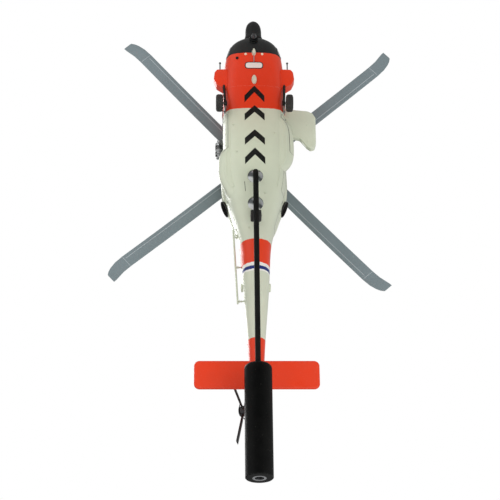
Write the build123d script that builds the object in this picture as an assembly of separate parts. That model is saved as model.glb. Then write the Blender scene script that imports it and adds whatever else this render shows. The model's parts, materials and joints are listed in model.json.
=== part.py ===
from build123d import *
import math
import os

# Desk model of a twin-engine rescue helicopter, carried by a bent rod and a round post.
#
# Part frame: +X towards the nose, +Y to port, +Z up. The origin is on the post's axis,
# in the flat face at the post's free end.
# Model datum, used by every function below: X = 0 is a station just behind the main
# rotor, Z = 0 is the plane under the wheels. save() moves each piece from the model
# datum into the part frame.

# Scale 1:40, millimetres throughout.
ROTOR_RADIUS = 182.5
ROTOR_TURN = 48.8          # rest angle of the first main blade, from the nose to port
MAST_X = 5.0
HUB_Z = 71.0
TAIL_HUB = (-242.0, 0.0, 86.0)
TAIL_ROTOR_RADIUS = 41.9
TAIL_CANT = 20.0           # tail rotor axis, above horizontal
TRACK_HALF = 33.0
MAIN_WHEEL = (37.0, 8.25)  # axle station and height
TAIL_WHEEL = (-85.0, 5.5)
SPLIT_NOSE = 58.0          # joint between nose block and cabin block
SPLIT_TAIL = -92.0         # joint between cabin block and tail boom
SPLIT_FIN = 50.5           # height of the joint between tail boom and fin
SHOULDER_Y = 19.5          # inner face of the nacelle castings
SHOULDER_Z = 47.0          # their underside
SHOULDER_X = 27.0          # their front end
DECK_Z = 53.5              # underside of the engine deck
SLIDE = 0.05               # radial running clearance of every turning fit

ROD_R = 2.5
ROD_Z = -3.3               # rod axis, clear of the wheels
ROD_BEND = 7.0
FERRULE_X = (-40.8, -68.5)
FERRULE_BASE = 7.2
FERRULE_TOP = 29.0
FERRULE_DEPTH = 27.0
POST_R = 12.1
POST_TOP_X = -236.5
POST_END_X = -340.0
SOCKET_R = 4.0
SOCKET_DEPTH = 20.0

# Hull sections: station, half width, lowest, highest, height of the widest point, power.
# The power is 2 for an ellipse and grows as the section gets squarer.
HULL = [
    (117.0, 8.4, 16.1, 32.7, 24.4, 2.0),
    (113.5, 16.8, 13.5, 34.4, 24.2, 2.2),
    (109.0, 21.4, 12.1, 36.2, 24.5, 2.5),
    (103.0, 24.2, 11.4, 38.6, 25.0, 2.8),
    (95.0, 26.1, 11.0, 43.5, 26.0, 3.0),
    (86.0, 27.3, 11.0, 49.5, 28.0, 3.2),
    (76.0, 28.2, 11.0, 53.8, 31.0, 3.6),
    (62.0, 28.7, 11.0, 55.6, 33.0, 4.0),
    (30.0, 28.8, 11.0, 56.0, 33.0, 4.0),
    (-10.0, 28.8, 11.0, 56.0, 34.0, 4.0),
    (-40.0, 27.8, 11.0, 56.0, 35.0, 3.8),
    (-60.0, 24.4, 11.6, 55.8, 36.0, 3.4),
    (-80.0, 19.2, 13.2, 55.2, 37.0, 3.0),
    (-100.0, 15.0, 15.4, 54.2, 37.0, 2.6),
    (-130.0, 12.9, 19.0, 52.8, 37.5, 2.4),
    (-165.0, 10.6, 23.5, 51.2, 38.0, 2.3),
    (-205.0, 7.6, 29.0, 49.5, 39.5, 2.2),
    (-224.0, 6.2, 31.6, 48.8, 40.0, 2.2),
    (-240.0, 2.6, 35.5, 46.0, 40.5, 2.2),
]
# Engine deck sections, written like the hull's.
DECK = [
    (72.0, 6.0, 46.0, 53.4, 50.0, 2.2),
    (58.0, 14.0, 46.0, 60.2, 50.0, 2.6),
    (38.0, 17.0, 46.0, 62.4, 50.0, 3.0),
    (5.0, 17.5, 46.0, 63.5, 50.0, 3.2),
    (-30.0, 16.5, 46.0, 63.0, 50.0, 3.0),
    (-60.0, 13.0, 46.0, 60.8, 50.0, 2.8),
    (-90.0, 8.5, 46.0, 57.4, 49.0, 2.4),
    (-118.0, 4.0, 46.0, 52.4, 49.0, 2.2),
]
# Nacelle sections: station, inner side, outer side, bottom, top.
NACELLE = [
    (22.0, 13.6, 28.4, 48.5, 61.5),
    (8.0, 12.0, 30.0, 46.5, 63.6),
    (-15.0, 11.0, 30.9, 45.5, 64.2),
    (-38.0, 10.5, 31.0, 44.0, 63.6),
    (-50.0, 10.0, 29.0, 43.0, 62.0),
    (-64.0, 8.5, 24.6, 42.5, 60.0),
    (-78.0, 7.0, 20.0, 42.5, 57.4),
    (-89.0, 6.0, 13.0, 42.5, 53.0),
]
# Low swellings of the cabin sides, written like the nacelle: one to port, one to starboard.
PORT_SWELL = [
    (26.0, 14.0, 27.4, 14.0, 28.0),
    (19.0, 14.0, 33.2, 13.5, 29.5),
    (8.0, 14.0, 36.2, 13.5, 30.0),
    (-14.0, 14.0, 36.4, 13.5, 30.0),
    (-22.0, 14.0, 34.2, 13.5, 29.5),
    (-30.0, 14.0, 26.8, 14.0, 28.0),
]
STARBOARD_SWELL = [
    (-6.0, 14.0, 27.2, 15.0, 28.0),
    (-12.0, 14.0, 32.4, 13.5, 30.0),
    (-19.0, 14.0, 33.9, 13.5, 30.5),
    (-36.0, 14.0, 33.5, 13.5, 30.5),
    (-47.0, 13.0, 30.0, 14.0, 30.5),
    (-62.0, 10.0, 21.6, 16.0, 29.0),
]

# Fin sections: height, front edge, back edge, half thickness.
FIN = [
    (33.0, -208.0, -246.0, 4.6),
    (50.0, -207.0, -247.0, 4.8),
    (72.0, -225.0, -252.0, 3.9),
    (95.0, -240.0, -260.0, 2.9),
]
# Main blade sections: radius, sweep of the leading edge, chord.
BLADE = [
    (23.5, 0.0, 12.0),
    (34.0, 0.0, 13.2),
    (80.0, 0.0, 13.2),
    (120.0, 0.0, 13.2),
    (160.0, 0.0, 13.2),
    (169.0, 0.7, 13.0),
    (175.5, 2.4, 12.6),
    (179.5, 4.2, 11.6),
    (ROTOR_RADIUS, 6.6, 9.4),
]


# ------------------------------------------------------------------ helpers

def blend_ring(points):
    return make_face(Spline(*points, periodic=True))


def hull_ring(section, count=12):
    """One closed cross-section of the hull."""
    x, half_width, z_low, z_high, z_wide, power = section
    points = []
    for i in range(count):
        angle = 2 * math.pi * (i + 0.5) / count
        c = math.cos(angle)
        s = math.sin(angle)
        reach = z_high - z_wide if s > 0 else z_wide - z_low
        y = math.copysign(abs(c) ** (2 / power), c) * half_width
        z = z_wide + math.copysign(abs(s) ** (2 / power), s) * reach
        points.append((x, y, z))
    return blend_ring(points)


def hull_solid(sections):
    return loft([hull_ring(s) for s in sections])


def oval_ring(x, y0, y1, z0, z1, side):
    """An ellipse across X between y0 and y1 and between z0 and z1, on the given side."""
    centre = (x, side * (y0 + y1) / 2, (z0 + z1) / 2)
    plane = Plane(origin=centre, x_dir=(0, 0, 1), z_dir=(1, 0, 0))
    return plane * Ellipse((z1 - z0) / 2, (y1 - y0) / 2)


def rod_between(start, end, radius):
    """A round bar from start to end."""
    a = Vector(*start)
    b = Vector(*end)
    plane = Plane(origin=a, z_dir=b - a)
    return plane * Cylinder(radius, (b - a).length, align=(Align.CENTER, Align.CENTER, Align.MIN))


def across(x, y0, y1, z, radius):
    """A round bar along Y."""
    return rod_between((x, y0, z), (x, y1, z), radius)


def upright(x, y, z0, z1, radius):
    """A round bar along Z."""
    return rod_between((x, y, z0), (x, y, z1), radius)


def plan_prism(points, z0, z1, corner):
    """An outline given in X and Y, with rounded corners, made solid from z0 to z1."""
    face = make_face(Polyline(*points, close=True))
    face = fillet(face.vertices(), corner)
    return Pos(0, 0, z0) * extrude(face, z1 - z0)


def mirrored(points, side):
    return [(x, side * y) for x, y in points]


def cut(shape, *tools):
    for tool in tools:
        shape = shape - tool
    return shape


def group(*shapes):
    """Separate solids kept together in one node."""
    solids = []
    for shape in shapes:
        solids += list(shape.solids())
    return Compound(solids)


def save(name, shape):
    placed = Pos(-POST_END_X, 0, -ROD_Z) * shape
    export_step(placed, f"parts/{name}.step")


# ------------------------------------------------------------------ hull blocks

def slab(x0, x1):
    """Everything between two stations, for splitting the hull into blocks."""
    return Pos((x0 + x1) / 2, 0, 50) * Box(x1 - x0, 200, 200)


def shoulder_box(side):
    """The room taken out of the cabin block by one nacelle casting."""
    y = side * (SHOULDER_Y + 60) / 2
    length = SHOULDER_X - SPLIT_TAIL
    return Pos(SPLIT_TAIL + length / 2, y, SHOULDER_Z + 20) * Box(length, 60 - SHOULDER_Y, 40)


def deck_box():
    length = SPLIT_NOSE - SPLIT_TAIL
    return Pos(SPLIT_TAIL + length / 2, 0, DECK_Z + 20) * Box(length, 2 * SHOULDER_Y, 40)


# ------------------------------------------------------------------ upper works

def pod(sections, side):
    """A smooth body stacked from ovals."""
    return loft([oval_ring(*section, side) for section in sections])


def intake(side, x0, x1, wall):
    """An oval plug the size of the nacelle's mouth, drawn in by wall."""
    _, y0, y1, z0, z1 = NACELLE[0]
    return extrude(oval_ring(x0, y0 + wall, y1 - wall, z0 + wall, z1 - wall, side), x1 - x0)


def exhaust_plane(side):
    """Where the exhaust leaves the nacelle: outward, aft and slightly down."""
    origin = (-54.5, side * 27.2, 50.0)
    return Plane(origin=origin, x_dir=(0.928, side * 0.372, 0), z_dir=(-0.353, side * 0.88, -0.32))


def exhaust_shape(side, wall, low, high):
    oval = Ellipse(8.6 - wall, 4.2 - wall)
    return exhaust_plane(side) * (Pos(0, 0, low) * extrude(oval, high - low))


def tail_pylon():
    """Swept fin: lens sections stacked from the boom to the tip."""
    rings = []
    for z, front, back, half in FIN:
        chord = front - back
        points = [(front, 0, z)]
        for share, thick in ((0.12, 0.62), (0.35, 1.0), (0.7, 0.72), (0.97, 0.16)):
            points.append((front - chord * share, half * thick, z))
        points.append((back, 0, z))
        for share, thick in ((0.97, 0.16), (0.7, 0.72), (0.35, 1.0), (0.12, 0.62)):
            points.append((front - chord * share, -half * thick, z))
        rings.append(blend_ring(points))
    return loft(rings)


def boom_bosses():
    """Round bosses standing proud of both sides of the boom."""
    body = across(-142.3, -13.7, 13.7, 38.0, 4.0)
    return fillet(body.edges(), 1.2)


def stabilator():
    plate = Box(27.0, 112.0, 3.8)
    plate = fillet(plate.edges().filter_by(Axis.Z), 5.0)
    plate = fillet(plate.edges().group_by(Axis.Z)[-1] + plate.edges().group_by(Axis.Z)[0], 1.6)
    return Pos(-228.5, 0, 38.0) * plate


# ------------------------------------------------------------------ nose and belly

def nose_radome():
    """Round-ended black thimble let into the nose."""
    base = Polyline((139.9, 0), (109, 0), (109, 8.8), (118, 8.8))
    points = [(118, 8.8), (122, 8.0), (127, 7.7), (132.5, 7.1), (136.6, 5.3), (139.2, 2.5), (139.9, 0)]
    body = make_face(base + Spline(*points, tangents=[(1, 0), (0, -1)]))
    return Pos(0, 0, 24.4) * revolve(body, Axis.X)


def turret_room():
    return upright(112.3, 0, 9.2, 18.0, 4.3)


def turret_mount(radome):
    """Collar under the nose, open downwards round the ball."""
    return cut(turret_room(), upright(112.3, 0, 9.0, 12.4, 3.3), radome)


def turret_ball():
    ball = Pos(112.3, 0, 9.0) * Sphere(3.0)
    stem = upright(112.3, 0, 9.0, 12.4, 1.2)
    seat = Plane(origin=(113.6, 0, 7.0), z_dir=(0.5, 0, -0.87))
    return ball + stem - seat * Cylinder(1.3, 3.0, align=(Align.CENTER, Align.CENTER, Align.MIN))


def belly_antenna(x, half_length, half_width, height):
    foot = Ellipse(half_length, half_width)
    return Pos(x, 0, 12.5) * Rot(180, 0, 0) * extrude(foot, height + 1.5, taper=14)


def belly_wire():
    """Short bar held under the nose by two pins."""
    bar = rod_between((84.6, 0, 10.0), (90.9, 0, 10.0), 0.45)
    return bar + upright(85.6, 0, 10.0, 12.5, 0.4) + upright(89.9, 0, 10.0, 12.5, 0.4)


def probe(side, y, x_tip, fairing):
    """Thin forward-pointing probe with a ball on its tip."""
    needle = rod_between((74.0, side * y, 25.0), (x_tip, side * y, 25.0), 0.55)
    tip = Pos(x_tip, side * y, 25.0) * Sphere(1.05)
    return cut(needle + tip, fairing)


def marker_lights():
    """Small round lights: two under the nose and one on each side of the boom."""
    lamps = []
    for side in (1, -1):
        lamps.append(Pos(94.0, side * 7.9, 11.2) * Sphere(1.3))
        lamps.append(Pos(-143.0, side * 11.6, 38.0) * Sphere(2.1))
    return lamps


# ------------------------------------------------------------------ pylons and hoist

def port_pylon():
    outline = [(43.0, 27.0), (41.4, 36.0), (40.0, 50.5), (37.6, 55.6), (32.8, 58.4), (4.6, 58.2), (-0.5, 56.8)]
    outline += [(-1.8, 53.0), (1.4, 48.8), (9.4, 43.0), (10.6, 38.0), (10.6, 27.0)]
    body = plan_prism(outline, 26.5, 33.0, 2.0)
    rims = body.edges().group_by(Axis.Z)
    return fillet(rims[0] + rims[-1], 1.3)


def hoist_body():
    """Drum housing on an arm from the nacelle, with a motor at its aft end."""
    drum = rod_between((4.0, -33.2, 49.5), (16.5, -33.2, 49.5), 3.5)
    motor = rod_between((0.5, -33.2, 49.5), (4.0, -33.2, 49.5), 2.8)
    nose = rod_between((16.5, -33.2, 49.5), (19.5, -33.2, 49.5), 2.3)
    arm = Pos(11.0, -29.0, 51.6) * Box(5.0, 8.0, 2.6)
    return drum + motor + nose + arm


def hoist_hook():
    """Cable stub and hook under the drum."""
    cable = upright(12.0, -33.2, 42.2, 46.5, 0.5)
    weight = upright(12.0, -33.2, 40.4, 42.2, 1.2)
    hook = Pos(12.0, -33.2, 38.9) * Rot(90, 0, 0) * Torus(1.3, 0.45)
    return cable + weight + hook


def antenna_rail():
    front = (-84.0, -20.4, 36.0)
    back = (-158.0, -16.6, 38.0)
    rail = rod_between(front, back, 0.9)
    return rail + Pos(*front) * Sphere(0.9) + Pos(*back) * Sphere(0.9)


def rail_standoffs(rail):
    posts = []
    for x, y, lean in ((-90.5, -20.1, 6.0), (-122.0, -18.5, 0.0), (-156.0, -16.7, 0.0)):
        z = 36.0 + (-84.0 - x) * 2.0 / 74.0
        posts.append(rod_between((x, y, z), (x - lean, -9.0, z), 0.65) - rail)
    return posts


# ------------------------------------------------------------------ landing gear

def gear_fairing(side):
    """Rounded step that carries the front of the drag beam."""
    outline = [(81.0, 25.0), (80.6, 35.2), (77.6, 37.6), (70.0, 38.5), (64.0, 35.8), (60.0, 30.0)]
    outline += [(60.0, 25.0)]
    body = plan_prism(mirrored(outline, side), 17.0, 28.5, 1.6)
    rims = body.edges().group_by(Axis.Z)
    return fillet(rims[0] + rims[-1], 1.0)


def axle(side):
    x, z = MAIN_WHEEL
    shaft = across(x, side * 26.2, side * (TRACK_HALF + 3.0), z, 1.0)
    head = across(x, side * (TRACK_HALF + 2.7), side * (TRACK_HALF + 3.5), z, 1.9)
    return shaft + head


def drag_beam(side, fairing, pin):
    x, z = MAIN_WHEEL
    beam = rod_between((64.0, side * 28.8, 18.6), (x, side * 27.6, z), 1.25)
    eye = across(x, side * 26.0, side * 29.0, z, 2.5)
    return cut(beam + eye, fairing, pin)


def oleo(side, beam):
    """Two-stage shock strut from the wheel end of the beam up into the cabin side."""
    low = (36.2, side * 27.5, 10.0)
    middle = (34.6, side * 27.6, 19.5)
    top = (33.4, side * 27.2, 27.5)
    strut = rod_between(low, middle, 1.0) + rod_between(middle, top, 1.5)
    return strut - beam


def tyre(radius, rim, width, shoulder):
    body = Cylinder(radius, width)
    body = fillet(body.edges(), shoulder)
    return Rot(90, 0, 0) * (body - Cylinder(rim, width))


def wheel_hub(rim, width, bore, dish):
    """Wheel centre: a disc dished on both faces round a boss."""
    body = Cylinder(rim, width)
    hollow = Cylinder(rim - 0.9, dish) - Cylinder(bore + 0.9, dish)
    for end in (1, -1):
        body = body - Pos(0, 0, end * (width - dish) / 2) * hollow
    return Rot(90, 0, 0) * (body - Cylinder(bore, width))


def tail_yoke(pin):
    """Swivelling leg between the two tail wheels."""
    x, z = TAIL_WHEEL
    eye = across(x, -1.0, 1.0, z, 2.2)
    leg = rod_between((x, 0, z), (-82.0, 0, 12.2), 0.95)
    disc = upright(-82.0, 0, 12.0, 13.0, 2.6)
    stem = upright(-82.0, 0, 12.0, 21.0, 1.5)
    return cut(eye + leg + disc + stem, pin)


# ------------------------------------------------------------------ stand

def dome_height(x):
    """Height of the belly where a ferrule is let in."""
    return 11.0 if x > -50 else 12.4


def dome_seat(x):
    return upright(x, 0, 5.0, dome_height(x) + 1.4, FERRULE_BASE)


def ferrule(x):
    """Polished dome under the belly with a blind tube above it for the stand rod."""
    drop = 2.6
    belly = dome_height(x)
    radius = (FERRULE_BASE ** 2 + drop ** 2) / (2 * drop)
    dome = Pos(x, 0, belly - drop + radius) * Sphere(radius) & dome_seat(x)
    tube = upright(x, 0, belly, FERRULE_TOP, 4.0)
    return dome + tube - upright(x, 0, 0, FERRULE_DEPTH, ROD_R + SLIDE)


def stand_rod():
    x = FERRULE_X[0]
    top = (x, 0, FERRULE_DEPTH - 0.1)
    corner = (x, 0, ROD_Z)
    end = (POST_TOP_X - 24.9, 0, ROD_Z)
    path = FilletPolyline(top, corner, end, radius=ROD_BEND)
    return sweep(Plane(origin=top, z_dir=(0, 0, -1)) * Circle(ROD_R), path=path)


def along_post(x0, x1, radius):
    return rod_between((x0, 0, ROD_Z), (x1, 0, ROD_Z), radius)


def stand_post(insert_hole, screw):
    body = along_post(POST_END_X, POST_TOP_X, POST_R)
    shoulder = body.edges().group_by(Axis.X)[-1]
    body = fillet(shoulder, 4.0)
    bottom = body.edges().group_by(Axis.X)[0]
    body = chamfer(bottom, 0.6)
    rod_hole = along_post(POST_TOP_X - 25.0, POST_TOP_X + 1, ROD_R + SLIDE)
    return cut(body, rod_hole, insert_hole, screw)


def post_set_screw():
    x = POST_TOP_X - 12.0
    body = upright(x, 0, ROD_Z + ROD_R + SLIDE, ROD_Z + POST_R - 1.0, 2.0)
    socket = Pos(x, 0, ROD_Z + POST_R - 1.0) * extrude(RegularPolygon(1.1, 6), -1.8)
    return body - socket


# ------------------------------------------------------------------ rotors

def main_blade():
    """One blade along +X from the mast, leading edge to +Y, drooping, with a swept tip."""
    rings = []
    for r, sweep_back, chord in BLADE:
        drop = 5.0 * ((r - 23.5) / (ROTOR_RADIUS - 23.5)) ** 2
        lead = 6.2 - sweep_back
        thick = 0.85 if r < ROTOR_RADIUS else 0.55
        points = [(r, lead, -drop)]
        for share, height in ((0.1, 0.8), (0.3, 1.0), (0.65, 0.62)):
            points.append((r, lead - chord * share, height * thick - drop))
        points.append((r, lead - chord, -drop))
        for share, height in ((0.65, 0.62), (0.3, 1.0), (0.1, 0.8)):
            points.append((r, lead - chord * share, -height * thick - drop))
        rings.append(make_face(Polyline(*points, close=True)))
    return loft(rings, ruled=True)


def rotor_hub():
    """Four-armed hub with a plain bore for the mast pin."""
    body = Cylinder(8.0, 4.4)
    body = chamfer(body.edges(), 0.7)
    for quarter in range(4):
        body = body + Rot(0, 0, 90 * quarter) * (Pos(13.0, 0, 0) * Box(14.0, 6.0, 2.6))
    return body - Cylinder(1.5 + SLIDE, 10)


def blade_cuff():
    """Sleeve that joins a hub arm to a blade root."""
    sleeve = Pos(22.0, 0, 0) * Box(16.0, 9.6, 4.6)
    sleeve = chamfer(sleeve.edges().filter_by(Axis.X), 1.0)
    taper = Pos(28.0, 0, 0) * Box(5.0, 12.0, 3.4)
    return sleeve + taper


def on_mast(shape, quarter):
    """Turns a piece drawn along +X to its arm of the main rotor."""
    return Pos(MAST_X, 0, HUB_Z) * Rot(0, 0, ROTOR_TURN + 90 * quarter) * shape


def mast_sleeve():
    """Fixed collar round the pin: a flared foot, a swashplate disc and a neck."""
    foot = upright(MAST_X, 0, 60.0, 64.6, 6.8)
    disc = upright(MAST_X, 0, 64.6, 66.0, 5.2)
    neck = upright(MAST_X, 0, 66.0, HUB_Z - 2.3, 2.9)
    return foot + disc + neck


def cap_nut():
    """Domed nut that keeps the hub on its pin."""
    dome = Sphere(4.6) & Pos(0, 0, 2.5) * Cylinder(4.0, 5.0)
    return Pos(MAST_X, 0, HUB_Z + 2.3) * dome


def tail_axis_plane(distance):
    """Plane across the tail rotor axis, at a distance out from the fin's middle."""
    cant = math.radians(TAIL_CANT)
    axis = Vector(0, -math.cos(cant), math.sin(cant))
    origin = Vector(*TAIL_HUB) + axis * distance
    return Plane(origin=origin, x_dir=(1, 0, 0), z_dir=axis)


def tail_round(low, high, radius):
    return tail_axis_plane(low) * Cylinder(radius, high - low, align=(Align.CENTER, Align.CENTER, Align.MIN))


def tail_gearbox():
    return tail_round(1.0, 8.6, 4.4) + tail_round(8.6, 9.6, 3.0)


def tail_blades():
    """Four narrow blades, lens-shaped in section, set in the tail hub."""
    blades = []
    for quarter in range(4):
        rings = []
        for r, chord, thick in ((4.9, 3.4, 0.8), (11.0, 5.6, 0.6), (TAIL_ROTOR_RADIUS, 5.8, 0.45)):
            lens = [(r, chord / 2, 0), (r, chord / 6, thick), (r, -chord / 2, 0), (r, chord / 6, -thick)]
            rings.append(make_face(Polyline(*lens, close=True)))
        blade = loft(rings, ruled=True)
        blades.append(tail_axis_plane(11.6) * Rot(0, 0, 90 * quarter - 63) * blade)
    return blades


# ------------------------------------------------------------------ assembly

def build():
    """Makes every piece and returns them by node name."""
    pieces = {}

    # Stand and the sockets it plugs into.
    insert_hole = along_post(POST_END_X - 1, POST_END_X + SOCKET_DEPTH + 2.0, 6.0)
    insert = along_post(POST_END_X, POST_END_X + SOCKET_DEPTH + 2.0, 6.0)
    pieces["post_insert"] = insert - along_post(POST_END_X - 1, POST_END_X + SOCKET_DEPTH, SOCKET_R)
    pieces["post_set_screw"] = post_set_screw()
    pieces["stand_post"] = stand_post(insert_hole, upright(POST_TOP_X - 12.0, 0, ROD_Z, 20, 2.0))
    pieces["stand_rod"] = stand_rod()
    pieces["front_ferrule"] = ferrule(FERRULE_X[0])
    pieces["rear_ferrule"] = ferrule(FERRULE_X[1])
    sockets = [upright(x, 0, 5.0, FERRULE_TOP, 4.0) for x in FERRULE_X]
    sockets += [dome_seat(x) for x in FERRULE_X]

    # Main rotor.
    pin = upright(MAST_X, 0, 50.0, HUB_Z + 4.5, 1.5)
    hub = rotor_hub()
    sleeve = mast_sleeve()
    pieces["mast_pin"] = pin
    pieces["mast_sleeve"] = sleeve - pin
    pieces["rotor_cap_nut"] = cap_nut() - pin
    pieces["rotor_hub"] = on_mast(hub, 0)
    blade = main_blade()
    cuff = cut(blade_cuff(), hub, blade)
    for quarter in range(4):
        pieces[f"main_blade_{quarter + 1}"] = on_mast(blade, quarter)
    pieces["blade_cuffs"] = group(*[on_mast(cuff, quarter) for quarter in range(4)])

    # Undercarriage.
    beams, struts, axles, probes = [], [], [], []
    fairings = [gear_fairing(1), gear_fairing(-1)]
    for side, word, fairing in zip((1, -1), ("left", "right"), fairings):
        shaft = axle(side)
        beam = drag_beam(side, fairing, shaft)
        centre = Pos(MAIN_WHEEL[0], side * TRACK_HALF, MAIN_WHEEL[1])
        axles.append(shaft)
        beams.append(beam)
        struts.append(oleo(side, beam))
        probes.append(probe(side, 32.4, 92.5, fairing))
        pieces[f"{word}_tyre"] = centre * tyre(8.25, 4.6, 6.6, 2.0)
        pieces[f"{word}_wheel_hub"] = centre * wheel_hub(4.6, 5.2, 1.0 + SLIDE, 1.2)
    pieces["gear_fairings"] = group(*fairings)
    pylon = cut(port_pylon(), *struts)
    pieces["port_pylon"] = pylon
    pieces["drag_beams"] = group(*beams)
    pieces["oleo_struts"] = group(*struts)
    pieces["wheel_axles"] = group(*axles)
    pieces["probes"] = group(*probes)

    tail_axle = across(TAIL_WHEEL[0], -5.4, 5.4, TAIL_WHEEL[1], 0.7)
    pieces["tail_wheel_axle"] = tail_axle
    pieces["tail_wheel_yoke"] = tail_yoke(tail_axle)
    tail_tyres, tail_hubs = [], []
    for side in (1, -1):
        centre = Pos(TAIL_WHEEL[0], side * 3.1, TAIL_WHEEL[1])
        tail_tyres.append(centre * tyre(5.5, 2.8, 3.6, 1.2))
        tail_hubs.append(centre * wheel_hub(2.8, 3.4, 0.7 + SLIDE, 0.7))
    pieces["tail_tyres"] = group(*tail_tyres)
    pieces["tail_wheel_hubs"] = group(*tail_hubs)
    yoke_hole = upright(-82.0, 0, 5.0, 21.2, 1.5 + SLIDE)
    yoke_recess = upright(-82.0, 0, 5.0, 13.4, 3.0)

    # Fittings let into the skin.
    radome = nose_radome()
    mount = turret_mount(radome)
    front_antenna = belly_antenna(95.6, 4.1, 2.4, 3.2)
    rear_antenna = belly_antenna(64.6, 5.4, 3.0, 2.0)
    wire = belly_wire()
    lamps = marker_lights()
    hoist = hoist_body()
    hook = hoist_hook()
    rail = antenna_rail()
    standoffs = rail_standoffs(rail)
    pieces["nose_radome"] = radome
    pieces["turret_mount"] = mount
    pieces["turret_ball"] = turret_ball()
    pieces["front_belly_antenna"] = front_antenna
    pieces["rear_belly_antenna"] = rear_antenna
    pieces["belly_wire"] = wire
    pieces["marker_lights"] = group(*lamps)
    pieces["hoist_body"] = hoist - hook
    pieces["hoist_hook"] = hook
    pieces["antenna_rail"] = rail
    pieces["rail_standoffs"] = group(*standoffs)

    # Engines.
    lips, plugs, cups, mouths = [], [], [], []
    for side in (1, -1):
        mouths.append(intake(side, 16.0, 24.2, 1.5))
        mouths.append(intake(side, 20.0, 24.2, -0.5))
        lips.append(intake(side, 20.0, 24.2, -0.5) - intake(side, 19.0, 25.0, 1.5))
        plug = exhaust_shape(side, 0.0, -6.0, 1.4)
        plugs.append(plug)
        cups.append(plug - exhaust_shape(side, 0.7, -4.5, 8.0))
    pieces["intake_lips"] = group(*lips)
    pieces["exhaust_ducts"] = group(*cups)

    # Tail.
    stab = stabilator()
    gearbox = tail_gearbox()
    tail_pin = tail_round(5.0, 14.2, 1.0)
    tail_cap = tail_round(13.6, 14.8, 2.2)
    tail_hub = tail_round(9.8, 13.4, 5.0) - tail_round(9, 14, 1.0 + SLIDE)
    tail_blade_set = tail_blades()
    pieces["tail_gearbox"] = gearbox - tail_pin
    pieces["tail_rotor_pin"] = tail_pin + tail_cap
    pieces["tail_rotor_hub"] = cut(tail_hub, *tail_blade_set)
    pieces["tail_rotor_blades"] = group(*tail_blade_set)
    pieces["stabilator"] = stab

    # The body is shaped whole, sawn into castings, and pierced for everything let into it.
    boxes = [shoulder_box(1), shoulder_box(-1)]
    roof = deck_box()
    whole = hull_solid(HULL) + hull_solid(DECK) + pod(NACELLE, 1) + pod(NACELLE, -1)
    whole = whole + pod(PORT_SWELL, 1) + pod(STARBOARD_SWELL, -1)
    cabin = whole & slab(SPLIT_TAIL, SPLIT_NOSE)
    aft = (whole & slab(-300, SPLIT_TAIL)) + tail_pylon() + boom_bosses()
    above = Pos(-240, 0, SPLIT_FIN + 50) * Box(100, 100, 100)
    pieces["tail_pylon"] = (aft & above) - gearbox
    pieces["tail_boom"] = aft - [above, stab, lamps[1], lamps[3], *standoffs]
    nose_tools = [radome, turret_room(), front_antenna, rear_antenna, wire, lamps[0], lamps[2], *fairings]
    pieces["nose_block"] = (whole & slab(SPLIT_NOSE, 150)) - nose_tools
    pieces["engine_deck"] = (cabin & roof) - [sleeve, pin, *mouths, *plugs]
    for k, word in ((0, "left"), (1, "right")):
        tools = [mouths[2 * k], mouths[2 * k + 1], plugs[k]]
        if k:
            tools.append(hoist)
        pieces[f"{word}_nacelle"] = (cabin & boxes[k]) - tools
    cabin_tools = [*boxes, roof, *sockets, pin, *plugs, *mouths, pylon, *struts, *beams]
    cabin_tools += [yoke_hole, yoke_recess, standoffs[0]]
    pieces["cabin_block"] = cabin - cabin_tools
    return pieces


os.makedirs("parts", exist_ok=True)
for node, piece in build().items():
    save(node, piece)
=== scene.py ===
import bpy
import json
import math
from mathutils import Matrix, Vector
from mathutils.bvhtree import BVHTree


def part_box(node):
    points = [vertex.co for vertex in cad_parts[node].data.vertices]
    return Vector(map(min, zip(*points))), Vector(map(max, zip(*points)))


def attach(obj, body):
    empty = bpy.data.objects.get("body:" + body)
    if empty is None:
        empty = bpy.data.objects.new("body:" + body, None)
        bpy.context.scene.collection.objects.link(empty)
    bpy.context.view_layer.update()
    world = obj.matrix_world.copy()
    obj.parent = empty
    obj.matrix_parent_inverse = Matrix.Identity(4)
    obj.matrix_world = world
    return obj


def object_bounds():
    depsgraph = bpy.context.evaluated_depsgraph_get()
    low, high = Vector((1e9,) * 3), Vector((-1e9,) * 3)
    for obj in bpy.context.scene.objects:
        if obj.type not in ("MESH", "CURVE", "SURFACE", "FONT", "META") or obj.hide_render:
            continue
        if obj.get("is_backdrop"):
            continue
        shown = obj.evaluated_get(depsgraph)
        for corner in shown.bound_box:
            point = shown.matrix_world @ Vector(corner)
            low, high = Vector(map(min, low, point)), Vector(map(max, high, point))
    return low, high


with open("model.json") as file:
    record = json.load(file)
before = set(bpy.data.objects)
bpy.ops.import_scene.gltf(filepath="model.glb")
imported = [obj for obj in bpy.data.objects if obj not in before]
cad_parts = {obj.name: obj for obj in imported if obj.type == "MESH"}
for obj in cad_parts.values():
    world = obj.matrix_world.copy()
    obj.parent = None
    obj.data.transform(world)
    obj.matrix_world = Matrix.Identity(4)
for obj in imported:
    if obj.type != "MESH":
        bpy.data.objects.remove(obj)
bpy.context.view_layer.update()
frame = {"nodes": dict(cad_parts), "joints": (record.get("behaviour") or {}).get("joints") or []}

MM = 0.001

# Model datum, used for every shape below: X = 0 just behind the mast and +X to the nose,
# +Y to port, Z = 0 under the wheels, in millimetres.
mast_low, mast_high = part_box("mast_pin")
wheel_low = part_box("left_tyre")[0]
MAST_STATION = 5.0
X0 = (mast_low.x + mast_high.x) / 2 / MM - MAST_STATION
Z0 = wheel_low.z / MM
MAST = Vector((MAST_STATION, 0, 0))


def to_frame(p):
    """A datum point in millimetres as a frame point in metres."""
    return Vector(((p[0] + X0) * MM, p[1] * MM, (p[2] + Z0) * MM))


def datum_box(node):
    low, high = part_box(node)
    shift = Vector((X0, 0, Z0))
    return low / MM - shift, high / MM - shift


def middle(node):
    low, high = datum_box(node)
    return (low + high) / 2


# ------------------------------------------------------------------ materials

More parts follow.
